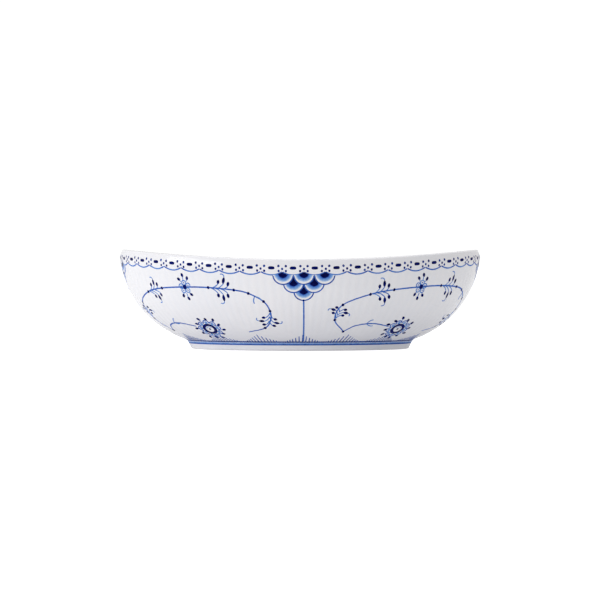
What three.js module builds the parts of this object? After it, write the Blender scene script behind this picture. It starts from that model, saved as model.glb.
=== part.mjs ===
// Oval porcelain serving bowl with a saddle-shaped rim, standing on an oval foot ring.
//
// Millimetres, +Z up. The origin is the centre of the foot's underside, +X runs along the
// bowl's long axis and +Y across it. The shell and the foot ring are formed apart and luted
// together with slip before firing, so a thin slip joint parts the two solids.
import * as THREE from 'three';

// Driving dimensions.
const RIM_LENGTH = 280;
const RIM_WIDTH = 215;
const RIM_HEIGHT_AT_ENDS = 77;
const RIM_HEIGHT_AT_SIDES = 69.5;
const FOOT_LENGTH = 176;
const FOOT_WIDTH = 139;
const FOOT_HEIGHT = 7;
const SLIP_JOINT = 0.3;
const FLOOR_THICKNESS = 5.5;
const LIP_THICKNESS = 3.4;

// The foot ring's section: how far each edge stands in from the foot's outside.
const FOOT_TAPER = 3.6;
const FOOT_RING_WIDTH = 8;
const FOOT_SOLE_WIDTH = 2.6;
const FOOT_EDGE_ROUNDING = 0.9;

// How finely the curved surfaces are divided.
const COLUMNS = 72;
const WALL_STEPS = 10;
const LIP_STEPS = 4;
const FLOOR_RING_SCALES = [0.75, 0.5, 0.25];

// The outer wall as a curve of (spread, height). Spread is 0 at the foot and 1 at the widest
// girth, so one curve serves the long and the short axis. The wall leaves the foot at a low
// slope, rounds up through the belly and ends nearly upright.
const SHELL_BASE_HEIGHT = FOOT_HEIGHT + SLIP_JOINT;
const GIRTH_HEIGHT = 71;
const LIP_SPREAD = 0.975;
const wallCurve = new THREE.CubicBezierCurve(
  new THREE.Vector2(0, SHELL_BASE_HEIGHT),
  new THREE.Vector2(0.4, 13.3),
  new THREE.Vector2(0.91, 32.8),
  new THREE.Vector2(1, GIRTH_HEIGHT),
);

// Above this height the wall is drawn out to meet the saddle of the rim.
const SADDLE_START_HEIGHT = 29;

const glazedPorcelain = { color: 0xeef0f6, roughness: 0.12, metalness: 0 };

/** A point of the section: spread from foot to girth, shift outwards in mm, and height. */
const sectionPoint = (spread, shift, height, scale = 1) => ({ spread, shift, height, scale });

/** The height of a section point at one place round the bowl, with the saddle applied. */
function saddleHeight(height, cosine) {
  if (height <= SADDLE_START_HEIGHT) return height;
  const rimHeight = THREE.MathUtils.lerp(RIM_HEIGHT_AT_SIDES, RIM_HEIGHT_AT_ENDS, cosine ** 2);
  const share = (height - SADDLE_START_HEIGHT) / (RIM_HEIGHT_AT_ENDS - SADDLE_START_HEIGHT);
  return SADDLE_START_HEIGHT + share * (rimHeight - SADDLE_START_HEIGHT);
}

/** One closed oval of vertices for a section point. */
function ovalRing({ spread, shift, height, scale }) {
  const halfLength = scale * (THREE.MathUtils.lerp(FOOT_LENGTH, RIM_LENGTH, spread) / 2 + shift);
  const halfWidth = scale * (THREE.MathUtils.lerp(FOOT_WIDTH, RIM_WIDTH, spread) / 2 + shift);
  return Array.from({ length: COLUMNS }, (_, column) => {
    const angle = (column / COLUMNS) * 2 * Math.PI;
    const cosine = Math.cos(angle);
    return [halfLength * cosine, halfWidth * Math.sin(angle), saddleHeight(height, cosine)];
  });
}

/** The quads between each ring and the next, as triangles facing to the right of the path. */
function bandTriangles(ringCount, closed) {
  const indices = [];
  const bands = closed ? ringCount : ringCount - 1;
  for (let ring = 0; ring < bands; ring += 1) {
    const low = ring * COLUMNS;
    const high = ((ring + 1) % ringCount) * COLUMNS;
    for (let column = 0; column < COLUMNS; column += 1) {
      const next = (column + 1) % COLUMNS;
      indices.push(low + column, low + next, high + next);
      indices.push(low + column, high + next, high + column);
    }
  }
  return indices;
}

/** The triangles from one ring to a vertex on the axis. */
function fanTriangles(ring, apex, facesUp) {
  const indices = [];
  for (let column = 0; column < COLUMNS; column += 1) {
    const here = ring * COLUMNS + column;
    const next = ring * COLUMNS + ((column + 1) % COLUMNS);
    indices.push(...(facesUp ? [here, next, apex] : [next, here, apex]));
  }
  return indices;
}

function solidFrom(vertices, indices) {
  const geometry = new THREE.BufferGeometry();
  geometry.setAttribute('position', new THREE.Float32BufferAttribute(vertices.flat(), 3));
  geometry.setIndex(indices);
  geometry.computeVertexNormals();
  return geometry;
}

/** The outer wall from the foot to the girth, and the lip's slight inward turn above it. */
function outerWallSection() {
  const wall = wallCurve.getPoints(WALL_STEPS).map((point) => sectionPoint(point.x, 0, point.y));
  return [...wall, sectionPoint(LIP_SPREAD, 0, RIM_HEIGHT_AT_ENDS - LIP_THICKNESS / 2)];
}

/** The rounded edge of the rim, from the outside over to the inside. */
function lipSection() {
  const radius = LIP_THICKNESS / 2;
  const steps = Array.from({ length: LIP_STEPS - 1 }, (_, step) => (step + 1) / LIP_STEPS);
  return steps.map((share) => {
    const turn = share * Math.PI;
    const height = RIM_HEIGHT_AT_ENDS - radius + radius * Math.sin(turn);
    return sectionPoint(LIP_SPREAD, -radius * (1 - Math.cos(turn)), height);
  });
}

/** The inside, from the lip down to the floor: the outer wall moved in along its normal. */
function innerWallSection() {
  const lip = sectionPoint(LIP_SPREAD, -LIP_THICKNESS, RIM_HEIGHT_AT_ENDS - LIP_THICKNESS / 2);
  const overhang = (RIM_LENGTH - FOOT_LENGTH) / 2;
  const wall = Array.from({ length: WALL_STEPS + 1 }, (_, step) => {
    const share = 1 - step / WALL_STEPS;
    const point = wallCurve.getPoint(share);
    const tangent = wallCurve.getTangent(share);
    const run = new THREE.Vector2(tangent.x * overhang, tangent.y).normalize();
    const thickness = THREE.MathUtils.lerp(FLOOR_THICKNESS, LIP_THICKNESS, share);
    return sectionPoint(point.x, -run.y * thickness, point.y + run.x * thickness);
  });
  return [lip, ...wall];
}

/** The bowl's shell: outer wall, rim, inner wall, flat floor, and flat underside. */
function bowlBody() {
  const inner = innerWallSection();
  const floorEdge = inner[inner.length - 1];
  const floor = FLOOR_RING_SCALES.map((scale) => ({ ...floorEdge, scale }));
  const underside = [...FLOOR_RING_SCALES].reverse()
    .map((scale) => sectionPoint(0, 0, SHELL_BASE_HEIGHT, scale));
  const section = [...underside, ...outerWallSection(), ...lipSection(), ...inner, ...floor];
  const vertices = section.flatMap(ovalRing);
  const undersideApex = vertices.push([0, 0, SHELL_BASE_HEIGHT]) - 1;
  const floorApex = vertices.push([0, 0, floorEdge.height]) - 1;
  const indices = [
    ...bandTriangles(section.length, false),
    ...fanTriangles(0, undersideApex, false),
    ...fanTriangles(section.length - 1, floorApex, true),
  ];
  return solidFrom(vertices, indices);
}

/** The foot ring: it tapers in towards a narrow flat sole with rounded edges. */
function footRing() {
  const soleOuter = -FOOT_TAPER - FOOT_EDGE_ROUNDING;
  const soleInner = soleOuter - FOOT_SOLE_WIDTH;
  const section = [
    sectionPoint(0, soleInner, 0),
    sectionPoint(0, soleOuter, 0),
    sectionPoint(0, -FOOT_TAPER, FOOT_EDGE_ROUNDING),
    sectionPoint(0, -FOOT_TAPER / 2, FOOT_HEIGHT * 0.62),
    sectionPoint(0, 0, FOOT_HEIGHT),
    sectionPoint(0, -FOOT_RING_WIDTH - FOOT_TAPER, FOOT_HEIGHT),
    sectionPoint(0, soleInner - FOOT_EDGE_ROUNDING, FOOT_EDGE_ROUNDING),
  ];
  return solidFrom(section.flatMap(ovalRing), bandTriangles(section.length, true));
}

function part(name, geometry) {
  const mesh = new THREE.Mesh(geometry, new THREE.MeshStandardMaterial(glazedPorcelain));
  mesh.name = name;
  return mesh;
}

const bowl = new THREE.Group();
bowl.add(part('bowl_body', bowlBody()), part('foot_ring', footRing()));

export default bowl;
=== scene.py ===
"""An oval porcelain serving bowl with fine upright flutes, painted in blue under the glaze.

Lengths are in millimetres until a mesh is made. A place on the bowl's outside is (turn, height).
Turn counts the border's scallops round the rim, from 0 at the middle of the near side, rising to
the right. Height is measured up the bowl's end; on the long sides the saddle of the rim draws the
wall down a little. Everything painted is a thin pad that follows the wall.
"""
import math
import random

import bpy
import numpy as np
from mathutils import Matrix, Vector


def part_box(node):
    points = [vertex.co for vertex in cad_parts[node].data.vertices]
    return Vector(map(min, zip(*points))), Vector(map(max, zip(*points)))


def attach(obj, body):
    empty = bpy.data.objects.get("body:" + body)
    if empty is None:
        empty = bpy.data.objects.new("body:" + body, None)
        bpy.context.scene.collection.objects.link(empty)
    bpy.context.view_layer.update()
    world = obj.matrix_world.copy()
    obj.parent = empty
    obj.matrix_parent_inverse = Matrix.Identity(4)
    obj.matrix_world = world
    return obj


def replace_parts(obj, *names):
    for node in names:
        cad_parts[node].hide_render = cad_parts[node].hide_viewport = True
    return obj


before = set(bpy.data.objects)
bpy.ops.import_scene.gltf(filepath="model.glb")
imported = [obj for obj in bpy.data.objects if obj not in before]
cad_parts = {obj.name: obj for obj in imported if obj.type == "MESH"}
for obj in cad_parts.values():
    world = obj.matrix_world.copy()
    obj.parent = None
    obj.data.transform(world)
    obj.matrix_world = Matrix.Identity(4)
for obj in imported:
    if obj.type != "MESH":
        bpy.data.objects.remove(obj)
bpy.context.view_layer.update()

MM = 0.001

# ---------------------------------------------------------------- sizes from the frame
body_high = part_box("bowl_body")[1] / MM
foot_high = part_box("foot_ring")[1] / MM
RIM_HALF_LENGTH = body_high.x
RIM_HALF_WIDTH = body_high.y
RIM_HEIGHT = body_high.z
FOOT_HALF_LENGTH = foot_high.x
FOOT_HALF_WIDTH = foot_high.y
OVERHANG = RIM_HALF_LENGTH - FOOT_HALF_LENGTH
SIDE_OVERHANG = RIM_HALF_WIDTH - FOOT_HALF_WIDTH

# ---------------------------------------------------------------- the shape of the bowl
RIM_DROP_AT_SIDES = 7.5
SADDLE_START = 29.0
GIRTH_HEIGHT = 71.0
WALL_BASE = 7.3
LIP_SPREAD = 0.975
LIP_THICKNESS = 3.4
LIP_START = RIM_HEIGHT - LIP_THICKNESS / 2
FLOOR_THICKNESS = 5.5
FLOOR_TOP = 12.9
FLOOR_SLOPE = 0.29
FLOOR_BLEND = 6
FOOT_TAPER = 3.6
FOOT_SEAM_HEIGHT = 5.8
UNDERSIDE_DOME = 0.6

# How softly the foot's side and the wall meet, as a spread, and the height where that ends.
FILLET = 0.03
FILLET_TOP = 20

# Control points of the wall curve: spread from foot (0) to girth (1), and height.
WALL_CURVE = ((0.0, WALL_BASE), (0.4, 13.3), (0.91, 32.8), (1.0, GIRTH_HEIGHT))

# Flutes: upright ribs parted by shallow grooves, from above the foot to below the border.
SCALLOPS = 48
FLUTES_PER_SCALLOP = 2.5
FLUTE_DEPTH = 0.11
FLUTE_START = 8.0
FLUTE_FADE_IN = 12
FLUTE_END = 62.0
FLUTE_FADE_OUT = 4
LEAST_GROOVE = 0.6
COLUMNS_PER_FLUTE = 8
COLUMNS = int(SCALLOPS * FLUTES_PER_SCALLOP * COLUMNS_PER_FLUTE)


def smooth_step(low, high, value):
    share = np.clip((value - low) / (high - low), 0, 1)
    return share * share * (3 - 2 * share)


def soft_max(a, b, blend):
    return (a + b + np.sqrt((a - b) ** 2 + blend ** 2)) / 2


def bezier(points, shares):
    p0, p1, p2, p3 = (np.array(point) for point in points)
    t = shares[:, None]
    return (1 - t) ** 3 * p0 + 3 * (1 - t) ** 2 * t * p1 + 3 * (1 - t) * t ** 2 * p2 + t ** 3 * p3


wall_table = bezier(WALL_CURVE, np.linspace(0, 1, 1500))
angle_table = np.linspace(0, 2 * math.pi, 7201)
rim_steps = np.hypot(
    np.diff(RIM_HALF_LENGTH * np.sin(angle_table)),
    np.diff(RIM_HALF_WIDTH * np.cos(angle_table)),
)
turn_table = np.concatenate([[0], np.cumsum(rim_steps)]) * SCALLOPS / rim_steps.sum()
SCALLOP_PITCH = rim_steps.sum() / SCALLOPS


def spread_at(height):
    """How far the outside has spread at a height: 0 over the foot, 1 at the girth."""
    low_slope = WALL_CURVE[1][0] / (WALL_CURVE[1][1] - WALL_BASE)
    wall = np.interp(height, wall_table[:, 1], wall_table[:, 0])
    wall = np.where(height < WALL_BASE, low_slope * (height - WALL_BASE), wall)
    turned_in = np.clip((height - GIRTH_HEIGHT) / (LIP_START - GIRTH_HEIGHT), 0, None)
    wall = wall - (1 - LIP_SPREAD) * turned_in ** 2
    foot_side = FOOT_TAPER / OVERHANG * (height / WALL_BASE - 1)
    return np.where(height < FILLET_TOP, soft_max(foot_side, wall, FILLET), wall)


def angle_at(turn):
    """The oval's angle from the near side. Equal turns are equal lengths of rim."""
    return np.interp(np.mod(turn, SCALLOPS), turn_table, angle_table)


def oval_place(turn, spread, inset, height, scale=1.0):
    """Places round the bowl for a point of its section, with the saddle applied."""
    angle = angle_at(turn)
    length = scale * (FOOT_HALF_LENGTH + spread * OVERHANG - inset)
    width = scale * (FOOT_HALF_WIDTH + spread * SIDE_OVERHANG - inset)
    squeeze = RIM_DROP_AT_SIDES * np.cos(angle) ** 2 / (RIM_HEIGHT - SADDLE_START)
    saddled = height - squeeze * np.clip(height - SADDLE_START, 0, None)
    parts = np.broadcast_arrays(length * np.sin(angle), -width * np.cos(angle), saddled)
    return np.stack(parts, axis=-1)


# ---------------------------------------------------------------- measuring on the wall
def unit(vectors):
    return vectors / np.linalg.norm(vectors, axis=-1, keepdims=True)


def dot_product(a, b):
    return (a * b).sum(-1)


def smooth_place(turn, height):
    """A place on the wall as it would be without its flutes."""
    return oval_place(turn, spread_at(height), 0, height)


def slopes(turn, height, place=smooth_place):
    """How a place moves, in mm, for one turn and for one mm of height."""
    small_turn, small_height = 0.01, 0.05
    along = place(turn + small_turn, height) - place(turn - small_turn, height)
    up = place(turn, height + small_height) - place(turn, height - small_height)
    return along / (2 * small_turn), up / (2 * small_height)


def unit_frame(along, up):
    """Unit vectors to the right, up and outwards, from the slopes at a place."""
    outwards = unit(np.cross(along, up))
    up = unit(up)
    return np.cross(up, outwards), up, outwards


def solve_move(along, up, move):
    """The change of turn and height that makes a move, in mm, where the slopes are known."""
    aa, ab, bb = dot_product(along, along), dot_product(along, up), dot_product(up, up)
    ma, mb = dot_product(move, along), dot_product(move, up)
    determinant = aa * bb - ab * ab
    return (ma * bb - mb * ab) / determinant, (mb * aa - ma * ab) / determinant


def walk(turn, height, right, up, steps=4):
    """The turn and height reached by going some mm to the right and up along the wall."""
    turn, height, right, up = np.broadcast_arrays(turn, height, right, up)
    for _ in range(steps):
        along, upward = slopes(turn, height)
        to_right, to_top, _ = unit_frame(along, upward)
        move = (right[..., None] * to_right + up[..., None] * to_top) / steps
        turn_change, height_change = solve_move(along, upward, move)
        turn = turn + turn_change
        height = height + height_change
    return turn, height


def groove_share(turn, height):
    """1 at the bottom of a full-depth groove between two flutes, and 0 on a rib.

    The grooves are shallower low down, where the wall is narrower and they lie closer.
    """
    groove = np.cos(np.pi * FLUTES_PER_SCALLOP * turn) ** 2
    fade_in = smooth_step(FLUTE_START, FLUTE_START + FLUTE_FADE_IN, height)
    fade_out = 1 - smooth_step(FLUTE_END, FLUTE_END + FLUTE_FADE_OUT, height)
    depth = LEAST_GROOVE + (1 - LEAST_GROOVE) * spread_at(height)
    return groove * fade_in * fade_out * depth


def wall_place(turn, height, lift=0.0):
    """A place on the fluted wall, or one lifted off it by some mm."""
    outwards = unit_frame(*slopes(turn, height))[2]
    reach = lift - FLUTE_DEPTH * groove_share(turn, height)
    return smooth_place(turn, height) + outwards * reach[..., None]


def wall_normal(turn, height):
    return unit(np.cross(*slopes(turn, height, wall_place)))


# ---------------------------------------------------------------- meshes
def make_piece(name, points, faces):
    """A smooth-shaded mesh object from points in mm, riding on the frame's one body."""
    mesh = bpy.data.meshes.new(name)
    mesh.from_pydata((np.asarray(points) * MM).tolist(), [], faces)
    mesh.shade_smooth()
    piece = bpy.data.objects.new(name, mesh)
    bpy.context.scene.collection.objects.link(piece)
    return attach(piece, "root")


def store(piece, attribute, values):
    layer = piece.data.attributes.new(attribute, "FLOAT", "POINT")
    layer.data.foreach_set("value", np.asarray(values, np.float32))


def band_faces(rows, columns, closed_rows=False):
    """Quads that join each row of a closed ring of columns to the next row."""
    index = np.arange(rows * columns).reshape(rows, columns)
    after = np.roll(index, -1, axis=1)
    quads = np.stack([index, after, np.roll(after, -1, axis=0), np.roll(index, -1, axis=0)], -1)
    last = rows if closed_rows else rows - 1
    return quads[:last].reshape(-1, 4).tolist()


def cap_faces(row, columns, apex, upward):
    """Triangles from a row of a closed ring to a point in its middle."""
    here = np.arange(columns) + row * columns
    after = np.roll(here, -1)
    first, second = (here, after) if upward else (after, here)
    return np.stack([first, second, np.full(columns, apex)], -1).tolist()


# ---------------------------------------------------------------- the porcelain shell
column_turns = np.arange(COLUMNS) * SCALLOPS / COLUMNS

# The shell's edge inside the foot, as (inset from the foot's outside, height).
SHELL_SEAT = ((2.6, WALL_BASE), (2.4, FOOT_SEAM_HEIGHT + 0.1))

# The foot's section inside its outer side, as (inset, height): under the shell, then down its
# inner side, and across the sole.
FOOT_HIDDEN_TOP = ((2.5, FOOT_SEAM_HEIGHT), (2.5, 7.6), (14.5, 7.9))
FOOT_INSIDE = ((12.6, 6.5), (11.2, 4.6), (9.6, 2.0), (8.9, 0.7))
FOOT_SOLE = ((7.5, 0.15), (6.8, 0), (4.4, 0), (3.5, 0.3))
FOOT_EDGE_HEIGHT = 0.9


def ring(spread, inset, height, scale=1.0):
    return oval_place(column_turns, spread, inset, height, scale)


def inner_section(height):
    """The inside opposite a height of the outside, as (spread, inset, height)."""
    step = 0.05
    reach = (spread_at(height + step) - spread_at(height - step)) * OVERHANG
    run = np.array([reach, 2 * step]) / math.hypot(reach, 2 * step)
    share = smooth_step(WALL_BASE, GIRTH_HEIGHT, height)
    thickness = FLOOR_THICKNESS + (LIP_THICKNESS - FLOOR_THICKNESS) * share
    return spread_at(height), run[1] * thickness, height + run[0] * thickness


def underside_rings():
    """The slightly domed underside, out to where the foot covers it."""
    rings = []
    for scale in (0.1, 0.4, 0.7, 0.9):
        rings.append(ring(0, 0, WALL_BASE + UNDERSIDE_DOME * (1 - scale ** 2), scale))
    return rings + [ring(0, inset, height) for inset, height in SHELL_SEAT]


def lip_rings():
    """The rounded lip, from the outside over to the inside."""
    radius = LIP_THICKNESS / 2
    rings = []
    for angle in np.linspace(0, math.pi, 8)[1:]:
        inset = radius * (1 - math.cos(angle))
        rings.append(ring(LIP_SPREAD, inset, LIP_START + radius * math.sin(angle)))
    return rings


def inside_rings():
    """The inside wall, down from the lip, and the flat floor that it eases into."""
    lowest = WALL_BASE + 1.0
    rings = []
    for height in np.linspace(GIRTH_HEIGHT, lowest, 22):
        spread, inset, inner_height = inner_section(height)
        rings.append(ring(spread, inset, soft_max(inner_height, FLOOR_TOP, FLOOR_BLEND)))
    for scale in (0.92, 0.84, 0.7, 0.5, 0.3, 0.1):
        wall_carried_on = inner_height - FLOOR_SLOPE * (1 - scale) * FOOT_HALF_LENGTH
        rings.append(ring(spread, inset, soft_max(wall_carried_on, FLOOR_TOP, FLOOR_BLEND), scale))
    return rings


def porcelain_shell():
    """The bowl's body, with how deep each point of its outside lies in a groove."""
    heights = np.append(np.linspace(FOOT_SEAM_HEIGHT, 13, 13), np.linspace(14.7, LIP_START, 35))
    turns, heights = np.meshgrid(column_turns, heights)
    before, outside = underside_rings(), list(wall_place(turns, heights))
    rings = before + outside + lip_rings() + inside_rings()
    # How deep each outside point lies in a groove. The material paints the grooves darker and bluer from
    # this, as thicker glaze and as painted shade.
    groove_darkening = np.zeros((len(rings), COLUMNS))
    groove_darkening[len(before):len(before) + len(outside)] = groove_share(turns, heights)
    underside_middle = len(rings) * COLUMNS
    floor_middle = underside_middle + 1
    middles = [[0, 0, WALL_BASE + UNDERSIDE_DOME], rings[-1].mean(axis=0)]
    faces = band_faces(len(rings), COLUMNS)
    faces += cap_faces(0, COLUMNS, underside_middle, upward=False)
    faces += cap_faces(len(rings) - 1, COLUMNS, floor_middle, upward=True)
    piece = make_piece("porcelain_shell", np.concatenate(rings + [middles]), faces)
    store(piece, "groove_glaze_and_shade", np.append(groove_darkening, [0, 0]))
    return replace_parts(piece, "bowl_body")


def porcelain_foot():
    """The foot ring, flush with the shell outside: tapered side, bare sole, sloping inside."""
    heights = np.linspace(FOOT_EDGE_HEIGHT, FOOT_SEAM_HEIGHT, 7)
    outside = [ring(spread_at(height), 0, height) for height in heights]
    section = FOOT_HIDDEN_TOP + FOOT_INSIDE + FOOT_SOLE
    rings = outside + [ring(0, inset, height) for inset, height in section]
    faces = band_faces(len(rings), COLUMNS, closed_rows=True)
    piece = make_piece("porcelain_foot", np.concatenate(rings), faces)
    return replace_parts(piece, "foot_ring")


# ---------------------------------------------------------------- brush work
PAINT_LIFT = 0.05
PAINT_SINK = 0.04
STROKE_STEP = 0.7
LEAST_HALF_WIDTH = 0.04

# Places across a stroke, as shares of its half width. The outermost sink into the wall.
ACROSS_STROKE = np.array([-1.1, -0.85, 0, 0.85, 1.1])

# How much the tone wavers from stroke to stroke, and how much paler a stroke's edges are.
TONE_WAVER = 0.04
EDGE_PALING = 0.1


def curve_through(points, per_span=14):
    """A smooth curve through the points (Catmull-Rom), as a dense polyline."""
    points = np.array(points, float)
    padded = np.concatenate([[2 * points[0] - points[1]], points, [2 * points[-1] - points[-2]]])
    t = np.linspace(0, 1, per_span, endpoint=False)[:, None]
    spans = []
    for a, b, c, d in zip(padded, padded[1:], padded[2:], padded[3:]):
        bend = (2 * a - 5 * b + 4 * c - d) * t ** 2 + (3 * b - a - 3 * c + d) * t ** 3
        spans.append((2 * b + (c - a) * t + bend) / 2)
    return np.concatenate(spans + [points[-1:]])


def at_angle(degrees, radius):
    return np.array([math.cos(math.radians(degrees)), math.sin(math.radians(degrees))]) * radius


def arc(centre, radius_x, radius_y, start, end, steps=24):
    """Points of an ellipse's arc in mm, with its angles in degrees."""
    angles = np.radians(np.linspace(start, end, steps))
    return np.stack([centre[0] + radius_x * np.cos(angles), centre[1] + radius_y * np.sin(angles)], -1)


class Spot:
    """A place to draw a motif: points in mm, scaled and turned by lean, are laid on the wall."""

    def __init__(self, turn, height, lean=0.0, scale=1.0):
        self.turn, self.height = turn, height
        self.lean, self.scale = math.radians(lean), scale

    def path(self, points):
        x, y = np.moveaxis(np.asarray(points, float) * self.scale, -1, 0)
        right = x * math.cos(self.lean) - y * math.sin(self.lean)
        up = x * math.sin(self.lean) + y * math.cos(self.lean)
        return np.stack(walk(self.turn, self.height, right, up), -1)


class Brush:
    """Gathers painted pads on the wall and makes them into one piece."""

    def __init__(self, seed):
        self.hand = random.Random(seed)
        self.turns, self.heights, self.rises, self.tones, self.faces = [], [], [], [], []
        self.count = 0

    def pad(self, turn, height, tone, lift=PAINT_LIFT, closed=False):
        """A thin solid pad over a grid of places: rows along it, columns across it."""
        rows, columns = turn.shape
        rise = np.full(turn.shape, lift)
        rise[:, [0, -1]] = -PAINT_SINK
        if not closed:
            rise[[0, -1], :] = -PAINT_SINK
        self.turns.append(turn.ravel())
        self.heights.append(height.ravel())
        self.rises.append(rise.ravel())
        self.tones.append(np.broadcast_to(tone, turn.shape).ravel())
        index = np.arange(rows * columns).reshape(rows, columns) + self.count
        self.count += rows * columns
        after = np.roll(index, -1, axis=0)
        last = rows if closed else rows - 1
        top = np.stack([index[:, :-1], after[:, :-1], after[:, 1:], index[:, 1:]], -1)[:last]
        under = np.stack([index[:, 0], index[:, -1], after[:, -1], after[:, 0]], -1)[:last]
        self.faces += top.reshape(-1, 4).tolist() + under.tolist()
        if not closed:
            self.faces += [index[0].tolist(), index[-1, ::-1].tolist()]

    def stroke(self, path, width, tone, lift=PAINT_LIFT, closed=False):
        """A brush stroke along a path of places. Width in mm and tone may vary along it."""
        path = np.asarray(path, float)
        if closed:
            path = np.concatenate([path, path[:1]])
        places = smooth_place(path[:, 0], path[:, 1])
        lengths = np.append(0, np.cumsum(np.linalg.norm(np.diff(places, axis=0), axis=1)))
        shares = np.linspace(0, 1, max(int(lengths[-1] / STROKE_STEP) + 1, 7))
        turn = np.interp(shares, lengths / lengths[-1], path[:, 0])
        height = np.interp(shares, lengths / lengths[-1], path[:, 1])
        half = np.interp(shares, np.linspace(0, 1, np.size(width)), np.atleast_1d(width)) / 2
        tone = np.interp(shares, np.linspace(0, 1, np.size(tone)), np.atleast_1d(tone))
        side_turn, side_height = sideways(turn, height, closed)
        reach = np.maximum(half, LEAST_HALF_WIDTH)[:, None] * ACROSS_STROKE
        turn = turn[:, None] + side_turn[:, None] * reach
        height = height[:, None] + side_height[:, None] * reach
        tone = tone[:, None] + self.hand.uniform(-TONE_WAVER, TONE_WAVER)
        tone = tone + EDGE_PALING * (np.abs(ACROSS_STROKE) > 1)
        if closed:
            turn, height, tone = turn[:-1], height[:-1], tone[:-1]
        self.pad(turn, height, tone, lift, closed)

    def finish(self, name):
        """Makes the piece, shaded with the wall's own normals, so that it lies in the glaze."""
        turn, height = np.concatenate(self.turns), np.concatenate(self.heights)
        piece = make_piece(name, wall_place(turn, height, np.concatenate(self.rises)), self.faces)
        piece.data.normals_split_custom_set_from_vertices(wall_normal(turn, height).tolist())
        store(piece, "tone", np.concatenate(self.tones))
        return piece


def sideways(turn, height, closed):
    """The change of turn and height for one mm to the left of a path, all along it."""
    places = smooth_place(turn, height)
    heading = np.gradient(places, axis=0)
    if closed:
        heading[[0, -1]] = places[1] - places[-2]
    along, up = slopes(turn, height)
    return solve_move(along, up, unit(np.cross(np.cross(along, up), heading)))


# Tones run from 0, where the colour pooled darkest, to 1, where the white shows bare.
DARK, DEEP, MIDDLE, LIGHT, PALE = 0.1, 0.24, 0.42, 0.52, 0.62

# Widths of lines and sizes of single marks, in mm.
STEM_LINE = 1.2
OUTLINE = 1.05
PETAL_LINE = 0.9
STALK_LINE = 0.85
BUD_STALK_LINE = 0.75
NODE_SIZE = 2.4
LEAF_WIDTH = 2.3

# How wide a mark is along its length, as shares of its full width.
ROUND_SHAPE = np.sqrt(np.clip(1 - np.linspace(-1, 1, 13) ** 2, 0, 1))
LEAF_SHAPE = np.sin(np.linspace(0, math.pi, 13)) ** 0.7
LINE_SHAPE = 0.8 + 0.2 * np.sin(np.linspace(0, math.pi, 9))


def line(brush, path, width, tone, lift=PAINT_LIFT):
    """A line that swells slightly in its middle, as a pointed brush leaves it."""
    brush.stroke(path, width * LINE_SHAPE, tone, lift)


def dot(brush, spot, centre, size, tone=DARK, lift=PAINT_LIFT):
    reach = size / 2
    path = spot.path([(centre[0] - reach, centre[1]), centre, (centre[0] + reach, centre[1])])
    brush.stroke(path, ROUND_SHAPE * size, tone, lift)


def node(brush, place):
    """The dark joint of a stem."""
    dot(brush, Spot(*place), (0, 0), NODE_SIZE, lift=2.5 * PAINT_LIFT)


def leaf(brush, spot, start, end):
    """A full brush mark from start to end, pointed at both."""
    brush.stroke(spot.path([start, end]), LEAF_WIDTH * LEAF_SHAPE, [DEEP, DARK, DARK], 2 * PAINT_LIFT)


BUD_LENGTH = 3.5
BUD_SLANT = 4
BUD_BEYOND_STALK = 2


def bud(brush, spot, angle, start, end):
    """A slanting, leaf-shaped bud at the end of a stalk that leads away from a flower."""
    stalk = [at_angle(angle, start), at_angle(angle, end - BUD_BEYOND_STALK)]
    line(brush, spot.path(stalk), BUD_STALK_LINE, LIGHT)
    leaf(brush, spot, at_angle(angle - BUD_SLANT, end - BUD_LENGTH), at_angle(angle + BUD_SLANT, end))


# ---------------------------------------------------------------- motifs
# A sprig's leaves: where the stalk leaves the stem, and the leaf's two ends.
SPRIG_LENGTH = 20
SPRIG_LEAVES = (
    (1.5, (7.6, 3.4), (8.2, 7.2)),
    (5.5, (11.7, 4.0), (12.3, 9.8)),
    (10.0, (15.2, 2.6), (15.9, 6.8)),
)
SPRIG_CURL = ((12.3, 9.2), (11.9, 11.0), (10.4, 11.8), (8.8, 11.4))

# A stalk hugs the stem at first, and runs a little way into its leaf.
STALK_HUG = 0.25
STALK_INTO_LEAF = 1.2


def sprig(brush, start, end):
    """Three leaves on each side of a length of stem, growing towards its end."""
    heading = smooth_place(*end) - smooth_place(*start)
    right, up, _ = unit_frame(*slopes(*start))
    lean = math.degrees(math.atan2(heading @ up, heading @ right))
    spot = Spot(*start, lean, np.linalg.norm(heading) / SPRIG_LENGTH)
    for side in (1, -1):
        flip = np.array([1, side])
        for root, low, high in SPRIG_LEAVES:
            halfway = ((root + low[0]) / 2, low[1] * STALK_HUG)
            inside_leaf = (low[0], low[1] + STALK_INTO_LEAF)
            stalk = np.array([(root, 0), halfway, low, inside_leaf]) * flip
            line(brush, spot.path(curve_through(stalk)), STALK_LINE, LIGHT, 0.6 * PAINT_LIFT)
            leaf(brush, spot, low * flip, high * flip)
        line(brush, spot.path(curve_through(SPRIG_CURL * flip)), STALK_LINE, LIGHT)


ROSETTE_PETALS = 5
ROSETTE_PETAL_RADIUS = 1.8
ROSETTE_PETAL_REACH = 3.4
ROSETTE_PETAL_DOT = 1.2
ROSETTE_HEART = 3.8

# Each bud's angle, and how far out it ends.
ROSETTE_BUDS = ((60, 9.4), (90, 11.2), (120, 9.4))
ROSETTE_BUD_START = 4.5


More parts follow.
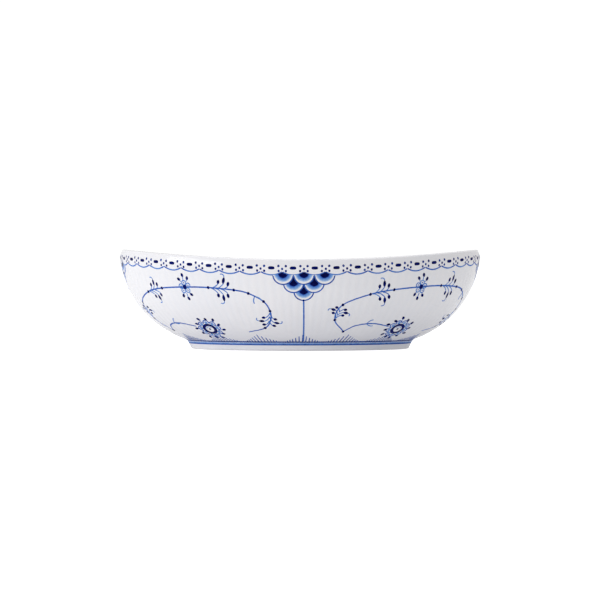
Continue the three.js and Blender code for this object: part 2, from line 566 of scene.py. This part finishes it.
def rosette(brush, spot):
    """A small open blossom: five round petals in outline, a dark heart, and six buds."""
    for petal in range(ROSETTE_PETALS):
        middle = at_angle(90 + 360 * petal / ROSETTE_PETALS, ROSETTE_PETAL_REACH)
        outline = arc(middle, ROSETTE_PETAL_RADIUS, ROSETTE_PETAL_RADIUS, 0, 345)
        brush.stroke(spot.path(outline), PETAL_LINE, LIGHT, closed=True)
        dot(brush, spot, middle, ROSETTE_PETAL_DOT, MIDDLE, 1.5 * PAINT_LIFT)
    dot(brush, spot, (0, 0), ROSETTE_HEART, DARK, 2 * PAINT_LIFT)
    for half_turn in (0, 180):
        for angle, end in ROSETTE_BUDS:
            bud(brush, spot, half_turn + angle, ROSETTE_BUD_START, end)


FLOWER_EYE = 1.9
FLOWER_LASH_RADIUS = 2.6
FLOWER_LASH_LINE = 0.7
FLOWER_RING_RADIUS = 4.8
FLOWER_RING_WIDTH = 2.5
FLOWER_PETALS = 9
FLOWER_PETAL_RADIUS = 2.3
FLOWER_PETAL_REACH = 7.6
FLOWER_WASH_REACH = 7.3
FLOWER_WASH_SIZE = 3.0
FLOWER_BUDS = 12
FLOWER_BUD_START = 9.6
FLOWER_BUD_ENDS = (12.6, 14)


def open_flower(brush, spot):
    """The large low flower: an eye in a dark ring, round petals, and a wreath of buds."""
    dot(brush, spot, (0, 0), FLOWER_EYE)
    lash = arc((0, 0), FLOWER_LASH_RADIUS, FLOWER_LASH_RADIUS, 20, 160)
    brush.stroke(spot.path(lash), FLOWER_LASH_LINE, PALE)
    for petal in range(FLOWER_PETALS):
        angle = 360 * petal / FLOWER_PETALS
        dot(brush, spot, at_angle(angle, FLOWER_WASH_REACH), FLOWER_WASH_SIZE, PALE)
        middle = at_angle(angle, FLOWER_PETAL_REACH)
        outline = arc(middle, FLOWER_PETAL_RADIUS, FLOWER_PETAL_RADIUS, angle - 120, angle + 120)
        brush.stroke(spot.path(outline), PETAL_LINE, MIDDLE, 1.5 * PAINT_LIFT)
    dark_ring = arc((0, 0), FLOWER_RING_RADIUS, FLOWER_RING_RADIUS, 0, 350, 40)
    brush.stroke(spot.path(dark_ring), FLOWER_RING_WIDTH, DARK, 2 * PAINT_LIFT, closed=True)
    for place in range(FLOWER_BUDS):
        angle = 360 * (place + 0.5) / FLOWER_BUDS
        bud(brush, spot, angle, FLOWER_BUD_START, FLOWER_BUD_ENDS[place % 2])


TENDRIL = ((0, 0), (1.6, 1.7), (3.5, 2.9), (5.6, 3.2))
TENDRIL_LINE = 0.95
TENDRIL_TONE = 0.56


def tendrils(brush, spot):
    """A fine open curl on each side of a stem."""
    for side in (1, -1):
        curl = curve_through(np.array(TENDRIL) * (1, side))
        line(brush, spot.path(curl), TENDRIL_LINE, TENDRIL_TONE, 1.5 * PAINT_LIFT)


# ---------------------------------------------------------------- borders
# The whole painting stands a little to the right of the bowl's middle.
PATTERN_SHIFT = 0.18

# The lace. Its line is deepest in tone at the points between two scallops.
LACE_BOTTOM = 12.6
LACE_DEPTH = 2.5
LACE_TONES = (0.35, MIDDLE, 0.5, 0.5, 0.5, MIDDLE, 0.35)
LACE_DOTS = ((-2.7, -5.7), (2.7, -5.7), (0, -7.9), (-2.7, -9.5), (2.7, -9.5))
LACE_DOT_SIZE = 1.9
LACE_DOT_WAVER = 0.15
BEAD_DROP = 7.2
BEAD_WIDTH = 2.3
BEAD_HALF_LENGTH = 0.17

# The foot border: a pale band with a firmer line in it, then dots on a line, then ticks.
BAND_HEIGHT = 5.3
BAND_WIDTH = 2.0
BAND_LINE_DROP = 0.5
BAND_LINE_WIDTH = 1.1
BAND_LINE_TONE = 0.34
DOT_HEIGHT = 6.9
DOT_SIZE = 1.5
DOT_TONE = 0.3
DOT_LINE_WIDTH = 1.4
DOT_LINE_TONE = 0.46
TICK_BASE = 7.3
TICK_RISE = 5.4
LEAST_TICK = 0.6
TICK_WIDTHS = (0.85, 0.75, 0.65)
TICK_TONES = (0.3, MIDDLE)
FANS = 16
TICKS_PER_FAN = 15
TICK_CROWDING = 0.035


def below_rim(turns, drops):
    """Places at distances below the rim, measured down the wall."""
    return np.stack(walk(turns, RIM_HEIGHT, 0, -drops), -1)


def lace_drop(turns):
    """How far below the rim the scalloped line runs: least at whole turns, most between them."""
    return LACE_BOTTOM - LACE_DEPTH * (1 - np.abs(np.sin(math.pi * turns)) ** 0.8)


def lace_border():
    """Scallops round the rim, each with an oval bead, and five dots over each point between."""
    brush = Brush(seed=1)
    across = np.linspace(0, 1, 25)
    for scallop in range(SCALLOPS):
        turn = scallop + PATTERN_SHIFT
        scalloped_line = below_rim(turn + across, lace_drop(across))
        brush.stroke(scalloped_line, OUTLINE, LACE_TONES)
        bead_turns = turn + 0.5 + np.linspace(-BEAD_HALF_LENGTH, BEAD_HALF_LENGTH, 5)
        bead = below_rim(bead_turns, np.full(5, BEAD_DROP))
        brush.stroke(bead, ROUND_SHAPE ** 0.5 * BEAD_WIDTH, DARK)
        for x, y in LACE_DOTS:
            across_point = x + brush.hand.uniform(-LACE_DOT_WAVER, LACE_DOT_WAVER)
            dot(brush, Spot(turn, RIM_HEIGHT), (across_point, y), LACE_DOT_SIZE, DEEP)
    return brush.finish("lace_border")


def foot_band(brush, height, width, tone, lift=PAINT_LIFT):
    """A line all the way round, at one height."""
    turns = np.linspace(0, SCALLOPS, 900, endpoint=False)
    path = np.stack([turns, np.full(turns.shape, height)], -1)
    brush.stroke(path, width, tone, lift, closed=True)


def foot_border():
    """A band and a row of dots round the foot, and ticks that rise from the dots in fans."""
    brush = Brush(seed=2)
    foot_band(brush, BAND_HEIGHT, BAND_WIDTH, PALE)
    line_height = BAND_HEIGHT - BAND_LINE_DROP
    foot_band(brush, line_height, BAND_LINE_WIDTH, BAND_LINE_TONE, 2 * PAINT_LIFT)
    foot_band(brush, DOT_HEIGHT, DOT_LINE_WIDTH, DOT_LINE_TONE)
    for tick in range(FANS * TICKS_PER_FAN):
        share = tick / TICKS_PER_FAN
        place = share + TICK_CROWDING * math.sin(2 * math.pi * share)
        turn = place * SCALLOPS / FANS + PATTERN_SHIFT
        top = TICK_BASE + TICK_RISE * (1 - 2 * abs(place - round(place))) ** 1.5
        dot(brush, Spot(turn, DOT_HEIGHT), (0, 0), DOT_SIZE, DOT_TONE, 3 * PAINT_LIFT)
        if top > TICK_BASE + LEAST_TICK:
            brush.stroke([(turn, TICK_BASE), (turn, top)], TICK_WIDTHS, TICK_TONES, 2 * PAINT_LIFT)
    return brush.finish("foot_border")


# ---------------------------------------------------------------- scale panels
SCALE_HALF_WIDTH = 7.5
SCALE_SPACING = 15.6
SCALE_DEPTH = 7.2
SCALE_ROW_STEP = 6.6
SCALE_ROWS = 3
SCALE_OUTLINE_TONE = 0.36
PANEL_TIP_DOT = 1.8
PANEL_STEM_DRIFT = 0.06
SCALE_ACROSS = SCALE_HALF_WIDTH * np.sin(np.linspace(-math.pi / 2, math.pi / 2, 35))[:, None]

# The tone of a scale against the distance from its core: dark, then washes, then bare white.
CORE_RISE = 1.2
SCALE_DISTANCES = (0, 0.44, 0.49, 0.60, 0.74, 0.84, 0.90)
SCALE_TONES = (0, 0.02, 0.42, 0.54, 0.66, 0.80, 1.0)


def scale_pad(brush, spot, centre, level, top, layer):
    """One scale: its washes, up to the given tops, and the outline of its lower edge."""
    lower = -SCALE_DEPTH * np.sqrt(np.clip(1 - (SCALE_ACROSS / SCALE_HALF_WIDTH) ** 2, 0, 1))
    y = lower + (top - lower) * np.linspace(0, 1, 23)
    distance = np.hypot(SCALE_ACROSS / SCALE_HALF_WIDTH, np.minimum(y - CORE_RISE, 0) / SCALE_DEPTH)
    tone = np.interp(distance, SCALE_DISTANCES, SCALE_TONES)
    grid = spot.path(np.stack(np.broadcast_arrays(SCALE_ACROSS + centre, y + level), -1))
    brush.pad(grid[..., 0], grid[..., 1], tone, layer * PAINT_LIFT)
    outline = arc((centre, level), SCALE_HALF_WIDTH, SCALE_DEPTH, -180, 0, 33)
    brush.stroke(spot.path(outline), OUTLINE, SCALE_OUTLINE_TONE, (layer + 0.5) * PAINT_LIFT)


def scale_panel(brush, turn):
    """Rows of three, two and one overlapping scales hanging from the lace, and a stem below."""
    spot = Spot(turn, RIM_HEIGHT)
    wedge = SCALE_ROW_STEP * (1 - np.abs(SCALE_ACROSS) / SCALE_HALF_WIDTH) ** 1.2
    for row in range(SCALE_ROWS):
        level = -LACE_BOTTOM - row * SCALE_ROW_STEP
        scales = SCALE_ROWS - row
        for scale in range(scales):
            centre = (scale - (scales - 1) / 2) * SCALE_SPACING
            to_lace = LACE_BOTTOM - lace_drop((SCALE_ACROSS + centre) / SCALLOP_PITCH)
            scale_pad(brush, spot, centre, level, wedge if row else to_lace, layer=scales)
    tip = -LACE_BOTTOM - (SCALE_ROWS - 1) * SCALE_ROW_STEP - SCALE_DEPTH
    dot(brush, spot, (0, tip), PANEL_TIP_DOT, DEEP, 4 * PAINT_LIFT)
    stem = [spot.path([(0, tip)])[0], (turn + PANEL_STEM_DRIFT, TICK_BASE)]
    brush.stroke(stem, STEM_LINE, MIDDLE)


def scale_panels():
    brush = Brush(seed=3)
    for quarter in range(4):
        scale_panel(brush, quarter * SCALLOPS / 4 + PATTERN_SHIFT)
    return brush.finish("scale_panels")


# ---------------------------------------------------------------- garlands
# One garland fills each quarter, from panel to panel. Turns are counted from the panel it starts at.
# A stem's points are (turn, height, whether a dark node sits there).
GARLAND_STEMS = (
    ((2.5, 15, 1), (1.75, 24, 1), (2.0, 36.5, 1), (3.3, 45.4, 1), (4.5, 48.9, 1), (6, 50.6, 0),
     (7.3, 50.8, 1), (8.6, 49.2, 1), (9.3, 46.5, 1), (10, 39.5, 1), (10.25, 31, 1), (10.2, 24, 0),
     (9.75, 17.8, 1), (8.6, 14.6, 0)),
    ((2.5, 15, 0), (3.1, 19.5, 0), (4.1, 21, 0), (5.3, 18.6, 0)),
)

# A sprig's start and end, and a tendril's place and lean.
GARLAND_SPRIGS = (
    ((1.75, 24), (2.0, 36.5)),
    ((3.3, 45.4), (4.5, 48.9)),
    ((7.3, 50.8), (8.6, 49.2)),
    ((10.25, 31), (9.95, 17.6)),
)
GARLAND_TENDRILS = ((9.6, 44, -70), (3.7, 20.8, 20))
GARLAND_ROSETTE = (6, 50.6)
GARLAND_FLOWER = (6.1, 16.6)


def garland(brush, first_turn):
    """A stem that arches over a quarter of the wall, with its sprigs, tendrils and two flowers."""
    def at(place):
        return place[0] + first_turn, place[1]

    for stem in GARLAND_STEMS:
        line(brush, curve_through([at(point) for point in stem]), STEM_LINE, MIDDLE)
        for point in stem:
            if point[2]:
                node(brush, at(point))
    for start, end in GARLAND_SPRIGS:
        sprig(brush, at(start), at(end))
    for turn, height, lean in GARLAND_TENDRILS:
        tendrils(brush, Spot(turn + first_turn, height, lean))
    rosette(brush, Spot(*at(GARLAND_ROSETTE)))
    open_flower(brush, Spot(*at(GARLAND_FLOWER)))


def flower_garlands(side, middle_turn):
    """The two garlands of one long side, which meet at the panel in its middle."""
    brush = Brush(seed=4)
    for quarter in (-1, 0):
        garland(brush, middle_turn + quarter * SCALLOPS / 4 + PATTERN_SHIFT)
    return brush.finish(f"flower_garlands_{side}")


# ---------------------------------------------------------------- materials
WHITE = (0.81, 0.80, 0.825)
COOL_WHITE = (0.785, 0.785, 0.82)
# Darker bluish white for the grooves: glaze lying thicker there, and painted shade.
POOLED_GLAZE_AND_SHADE = (0.72, 0.74, 0.80)
BARE_CLAY = (0.70, 0.69, 0.67)

# Heights in metres: the glaze starts to thin at the first, and the clay is bare below the second.
GLAZE_EDGE = 0.00055
BARE_BELOW = 0.0002

# The paint hardly reflects at its own surface, because the real colour lies under the glaze.
PAINT_REFRACTION = 1.1

COBALT_TONES = (
    (0.00, (0.0003, 0.001, 0.045)),
    (0.20, (0.0015, 0.008, 0.140)),
    (0.42, (0.040, 0.125, 0.490)),
    (0.60, (0.140, 0.290, 0.640)),
    (0.80, (0.380, 0.520, 0.770)),
    (0.95, (0.620, 0.690, 0.830)),
)


def new_material(name):
    """A material that holds only a Principled shader, with its node tree and that shader."""
    material = bpy.data.materials.new(name)
    material.use_nodes = True
    tree = material.node_tree
    tree.nodes.clear()
    output = tree.nodes.new("ShaderNodeOutputMaterial")
    shader = tree.nodes.new("ShaderNodeBsdfPrincipled")
    tree.links.new(shader.outputs[0], output.inputs[0])
    return material, tree, shader


def noise(tree, scale, detail=3.0):
    """Noise over the object's own coordinates, in metres."""
    where = tree.nodes.new("ShaderNodeTexCoord")
    node = tree.nodes.new("ShaderNodeTexNoise")
    node.inputs["Scale"].default_value = scale
    node.inputs["Detail"].default_value = detail
    tree.links.new(where.outputs["Object"], node.inputs["Vector"])
    return node.outputs[0]


def map_range(tree, value, low, high, to_low, to_high):
    node = tree.nodes.new("ShaderNodeMapRange")
    tree.links.new(value, node.inputs["Value"])
    for name, number in zip(("From Min", "From Max", "To Min", "To Max"), (low, high, to_low, to_high)):
        node.inputs[name].default_value = number
    return node.outputs[0]


def mix(tree, share, first, second):
    """A colour between two, which may be sockets or plain colours."""
    node = tree.nodes.new("ShaderNodeMix")
    node.data_type = "RGBA"
    colour_inputs = [socket for socket in node.inputs if socket.type == "RGBA"]
    for socket, value in zip(colour_inputs, (first, second)):
        if isinstance(value, tuple):
            socket.default_value = (*value, 1)
        else:
            tree.links.new(value, socket)
    tree.links.new(share, node.inputs[0])
    return next(socket for socket in node.outputs if socket.type == "RGBA")


def attribute(tree, name):
    node = tree.nodes.new("ShaderNodeAttribute")
    node.attribute_name = name
    return node.outputs["Fac"]


def glaze_roughness(tree):
    return map_range(tree, noise(tree, 60), 0.3, 0.7, 0.09, 0.15)


def glaze_finish(tree, shader, roughness, refraction=1.52):
    """The clear glaze: glossy, with the faint unevenness that a dipped glaze has."""
    tree.links.new(roughness, shader.inputs["Roughness"])
    bump = tree.nodes.new("ShaderNodeBump")
    bump.inputs["Strength"].default_value = 0.05
    bump.inputs["Distance"].default_value = 0.0004
    tree.links.new(noise(tree, 220, 2.0), bump.inputs["Height"])
    tree.links.new(bump.outputs[0], shader.inputs["Normal"])
    shader.inputs["IOR"].default_value = refraction
    shader.inputs["Subsurface Weight"].default_value = 0.06
    shader.inputs["Subsurface Radius"].default_value = (1.0, 0.9, 0.85)
    shader.inputs["Subsurface Scale"].default_value = 0.002


def porcelain_white(tree):
    """White that drifts very slightly from place to place."""
    return mix(tree, map_range(tree, noise(tree, 18), 0.35, 0.65, 0, 1), WHITE, COOL_WHITE)


def shell_material():
    """White porcelain, with the grooves darker and bluer: glaze lying thicker there, and painted shade."""
    material, tree, shader = new_material("glazed_porcelain")
    # The grooves' thicker glaze and painted shade go at most a quarter of the way to the darker colour.
    share = map_range(tree, attribute(tree, "groove_glaze_and_shade"), 0, 1, 0, 0.25)
    tree.links.new(mix(tree, share, porcelain_white(tree), POOLED_GLAZE_AND_SHADE), shader.inputs["Base Color"])
    glaze_finish(tree, shader, glaze_roughness(tree))
    return material


def foot_material():
    """The same porcelain, with the sole wiped free of glaze before firing."""
    material, tree, shader = new_material("porcelain_with_bare_sole")
    where = tree.nodes.new("ShaderNodeTexCoord")
    split = tree.nodes.new("ShaderNodeSeparateXYZ")
    tree.links.new(where.outputs["Object"], split.inputs[0])
    bare = map_range(tree, split.outputs["Z"], GLAZE_EDGE, BARE_BELOW, 0, 1)
    grain = mix(tree, noise(tree, 900), BARE_CLAY, WHITE)
    tree.links.new(mix(tree, bare, porcelain_white(tree), grain), shader.inputs["Base Color"])
    glaze_finish(tree, shader, map_range(tree, bare, 0, 1, 0.12, 0.75))
    return material


def cobalt_material():
    """Cobalt blue that pools dark and thins to pale, as wet colour does on a dry body."""
    material, tree, shader = new_material("underglaze_cobalt")
    tone = attribute(tree, "tone")
    wash = map_range(tree, noise(tree, 500, 4.0), 0.3, 0.7, -0.07, 0.07)
    total = tree.nodes.new("ShaderNodeMath")
    total.operation = "ADD"
    tree.links.new(tone, total.inputs[0])
    tree.links.new(wash, total.inputs[1])
    ramp = tree.nodes.new("ShaderNodeValToRGB")
    while len(ramp.color_ramp.elements) < len(COBALT_TONES):
        ramp.color_ramp.elements.new(0.5)
    for element, (position, colour) in zip(ramp.color_ramp.elements, COBALT_TONES):
        element.position = position
        element.color = (*colour, 1)
    tree.links.new(total.outputs[0], ramp.inputs[0])
    bare = map_range(tree, tone, 0.9, 1.0, 0, 1)
    tree.links.new(mix(tree, bare, ramp.outputs[0], porcelain_white(tree)), shader.inputs["Base Color"])
    glaze_finish(tree, shader, glaze_roughness(tree), PAINT_REFRACTION)
    return material


# ---------------------------------------------------------------- the stage
CAMERA_DISTANCE = 2.34
CAMERA_HEIGHT = 0.0713
AIM_HEIGHT = 0.0377
FRAME_WIDTH = 0.4674
BOWL_MIDDLE = (0, 0, 0.04)
FLOOR_REACH = 20


def add_to_scene(name, data):
    thing = bpy.data.objects.new(name, data)
    bpy.context.scene.collection.objects.link(thing)
    return thing


def aim(thing, place, target):
    thing.location = place
    thing.rotation_euler = (Vector(target) - Vector(place)).to_track_quat("-Z", "Y").to_euler()


def make_camera():
    data = bpy.data.cameras.new("camera")
    data.sensor_width = 36
    data.lens = data.sensor_width * CAMERA_DISTANCE / FRAME_WIDTH
    camera = add_to_scene("camera", data)
    aim(camera, (0, -CAMERA_DISTANCE, CAMERA_HEIGHT), (0, 0, AIM_HEIGHT))
    bpy.context.scene.camera = camera


def make_softbox(name, place, width, height, power):
    data = bpy.data.lights.new(name, "AREA")
    data.shape = "RECTANGLE"
    data.size = width
    data.size_y = height
    data.energy = power
    aim(add_to_scene(name, data), place, BOWL_MIDDLE)


def studio_strength(tree, seen, lit, reflected):
    """A strength that differs for the camera, for soft light and for reflections."""
    path = tree.nodes.new("ShaderNodeLightPath")
    unseen = map_range(tree, path.outputs["Is Glossy Ray"], 0, 1, lit, reflected)
    strength = map_range(tree, path.outputs["Is Camera Ray"], 0, 1, 0, seen)
    tree.links.new(unseen, strength.node.inputs["To Min"])
    return strength


def make_world():
    """Seamless white all round, which lights the bowl less than it shows."""
    world = bpy.data.worlds.new("studio")
    world.use_nodes = True
    tree = world.node_tree
    background = tree.nodes["Background"]
    background.inputs["Color"].default_value = (1, 1, 1, 1)
    tree.links.new(studio_strength(tree, seen=1.05, lit=0.55, reflected=0.8), background.inputs["Strength"])
    bpy.context.scene.world = world


def make_floor():
    """A white table top, glowing so that it shows as white as what is behind it."""
    mesh = bpy.data.meshes.new("floor")
    corners = [(x * FLOOR_REACH, y * FLOOR_REACH, 0) for x, y in ((-1, -1), (1, -1), (1, 1), (-1, 1))]
    mesh.from_pydata(corners, [], [(0, 1, 2, 3)])
    material, tree, shader = new_material("white_table")
    shader.inputs["Base Color"].default_value = (0.75, 0.75, 0.75, 1)
    shader.inputs["Roughness"].default_value = 1
    shader.inputs["Specular IOR Level"].default_value = 0
    shader.inputs["Emission Color"].default_value = (1, 1, 1, 1)
    glow = studio_strength(tree, seen=0.9, lit=0.23, reflected=0.3)
    tree.links.new(glow, shader.inputs["Emission Strength"])
    mesh.materials.append(material)
    add_to_scene("floor", mesh)


def make_stage():
    make_floor()
    make_world()
    make_softbox("softbox_left", place=(-1.5, -0.9, 0.5), width=1.2, height=1.0, power=12.5)
    make_softbox("softbox_top", place=(0, 0.2, 1.6), width=1.4, height=1.0, power=10.5)
    make_camera()
    bpy.context.scene.view_settings.view_transform = "Standard"


# ---------------------------------------------------------------- the bowl
def build_bowl():
    white, bare_sole, cobalt = shell_material(), foot_material(), cobalt_material()
    pieces = (
        (porcelain_shell(), "porcelain", white),
        (porcelain_foot(), "porcelain", bare_sole),
        (lace_border(), "underglaze_blue", cobalt),
        (foot_border(), "underglaze_blue", cobalt),
        (scale_panels(), "underglaze_blue", cobalt),
        (flower_garlands("front", 0), "underglaze_blue", cobalt),
        (flower_garlands("back", SCALLOPS / 2), "underglaze_blue", cobalt),
    )
    for piece, slot, material in pieces:
        piece.data.materials.append(material)


build_bowl()
make_stage()
